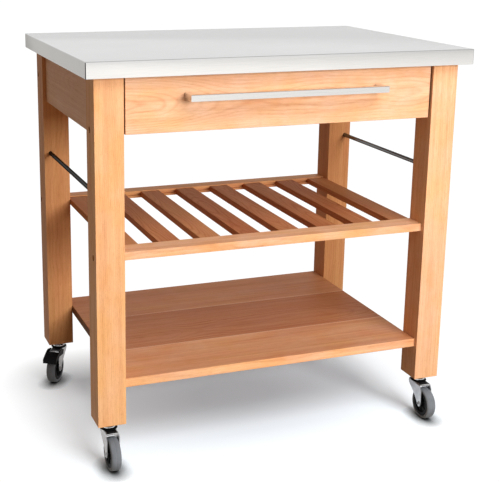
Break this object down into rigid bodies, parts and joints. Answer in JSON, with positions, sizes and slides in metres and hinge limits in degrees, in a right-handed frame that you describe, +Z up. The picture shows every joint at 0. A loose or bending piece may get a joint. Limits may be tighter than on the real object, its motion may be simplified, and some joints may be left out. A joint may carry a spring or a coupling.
{
  "type": "kitchen island cart",
  "caption": "Wooden kitchen island cart on casters, with a folded steel worktop, a drawer, a slatted shelf, a solid shelf and towel rods",
  "frame": {"origin": "on the floor, below the middle of the outer box", "axes": "+X right as seen from the drawer side, +Y to the back, +Z up"},
  "size_m": [0.9, 0.621, 0.905],
  "materials": {
    "beech": "oiled, satin",
    "plywood": "raw board",
    "brushed_steel": "satin brushed",
    "zinc_steel": "bright zinc plate",
    "grey_tyre": "matte",
    "black_plastic": "moulded, satin"
  },
  "bodies": {
    "frame": {"worktop_sheet": "brushed_steel", "worktop_core": "plywood", "leg_front_left": "beech", "leg_front_right": "beech", "leg_back_left": "beech", "leg_back_right": "beech", "side_apron_left": "beech", "side_apron_right": "beech", "back_apron": "beech", "front_cross_rail": "beech", "bolt_cross_rail_left": "zinc_steel", "bolt_cross_rail_right": "zinc_steel", "bolt_shelf_front_left": "zinc_steel", "bolt_shelf_front_right": "zinc_steel", "bolt_back_apron_left": "zinc_steel", "bolt_back_apron_right": "zinc_steel", "bolt_shelf_back_left": "zinc_steel", "bolt_shelf_back_right": "zinc_steel", "towel_rod_left": "brushed_steel", "towel_rod_right": "brushed_steel", "shelf_rail_front": "beech", "shelf_rail_back": "beech", "shelf_slat_1": "beech", "shelf_slat_2": "beech", "shelf_slat_3": "beech", "shelf_slat_4": "beech", "shelf_slat_5": "beech", "shelf_slat_6": "beech", "shelf_slat_7": "beech", "shelf_slat_8": "beech", "bottom_shelf": "beech", "runner_fixed_left": "zinc_steel", "runner_fixed_right": "zinc_steel", "caster_stem_front_left": "zinc_steel", "caster_stem_front_right": "zinc_steel", "caster_stem_back_left": "zinc_steel", "caster_stem_back_right": "zinc_steel"},
    "drawer": {"drawer_front": "beech", "drawer_side_left": "beech", "drawer_side_right": "beech", "drawer_back": "beech", "drawer_floor": "plywood", "drawer_handle": "brushed_steel", "runner_moving_left": "zinc_steel", "runner_moving_right": "zinc_steel"},
    "swivel_front_left": {"caster_fork_front_left": "zinc_steel"},
    "wheel_front_left": {"wheel_hub_front_left": "black_plastic", "wheel_tyre_front_left": "grey_tyre"},
    "swivel_front_right": {"caster_fork_front_right": "zinc_steel"},
    "wheel_front_right": {"wheel_hub_front_right": "black_plastic", "wheel_tyre_front_right": "grey_tyre"},
    "swivel_back_left": {"caster_fork_back_left": "zinc_steel"},
    "wheel_back_left": {"wheel_hub_back_left": "black_plastic", "wheel_tyre_back_left": "grey_tyre"},
    "pedal_back_left": {"brake_pedal_back_left": "black_plastic"},
    "swivel_back_right": {"caster_fork_back_right": "zinc_steel"},
    "wheel_back_right": {"wheel_hub_back_right": "black_plastic", "wheel_tyre_back_right": "grey_tyre"},
    "pedal_back_right": {"brake_pedal_back_right": "black_plastic"}
  },
  "joints": [
    {"name": "drawer_slide", "type": "slide", "parent": "frame", "child": "drawer", "axis": [0, -1, 0], "range_m": [0, 0.33]},
    {"name": "swivel_front_left", "type": "hinge", "parent": "frame", "child": "swivel_front_left", "pos_m": [-0.3955, -0.2415, 0.087], "axis": [0, 0, 1], "continuous": true},
    {"name": "roll_front_left", "type": "hinge", "parent": "swivel_front_left", "child": "wheel_front_left", "pos_m": [-0.3955, -0.2725, 0.0375], "axis": [1, 0, 0], "continuous": true},
    {"name": "swivel_front_right", "type": "hinge", "parent": "frame", "child": "swivel_front_right", "pos_m": [0.3955, -0.2415, 0.087], "axis": [0, 0, 1], "continuous": true},
    {"name": "roll_front_right", "type": "hinge", "parent": "swivel_front_right", "child": "wheel_front_right", "pos_m": [0.3955, -0.2725, 0.0375], "axis": [1, 0, 0], "continuous": true},
    {"name": "swivel_back_left", "type": "hinge", "parent": "frame", "child": "swivel_back_left", "pos_m": [-0.3955, 0.255, 0.087], "axis": [0, 0, 1], "continuous": true},
    {"name": "roll_back_left", "type": "hinge", "parent": "swivel_back_left", "child": "wheel_back_left", "pos_m": [-0.41238, 0.229, 0.0375], "axis": [0.8387, -0.5446, 0], "continuous": true},
    {"name": "brake_back_left", "type": "hinge", "parent": "swivel_back_left", "child": "pedal_back_left", "pos_m": [-0.40639, 0.23823, 0.079], "axis": [0.8387, -0.5446, 0], "range_deg": [0, 14]},
    {"name": "swivel_back_right", "type": "hinge", "parent": "frame", "child": "swivel_back_right", "pos_m": [0.3955, 0.255, 0.087], "axis": [0, 0, 1], "continuous": true},
    {"name": "roll_back_right", "type": "hinge", "parent": "swivel_back_right", "child": "wheel_back_right", "pos_m": [0.37862, 0.229, 0.0375], "axis": [0.8387, -0.5446, 0], "continuous": true},
    {"name": "brake_back_right", "type": "hinge", "parent": "swivel_back_right", "child": "pedal_back_right", "pos_m": [0.38461, 0.23823, 0.079], "axis": [0.8387, -0.5446, 0], "range_deg": [0, 14]}
  ]
}
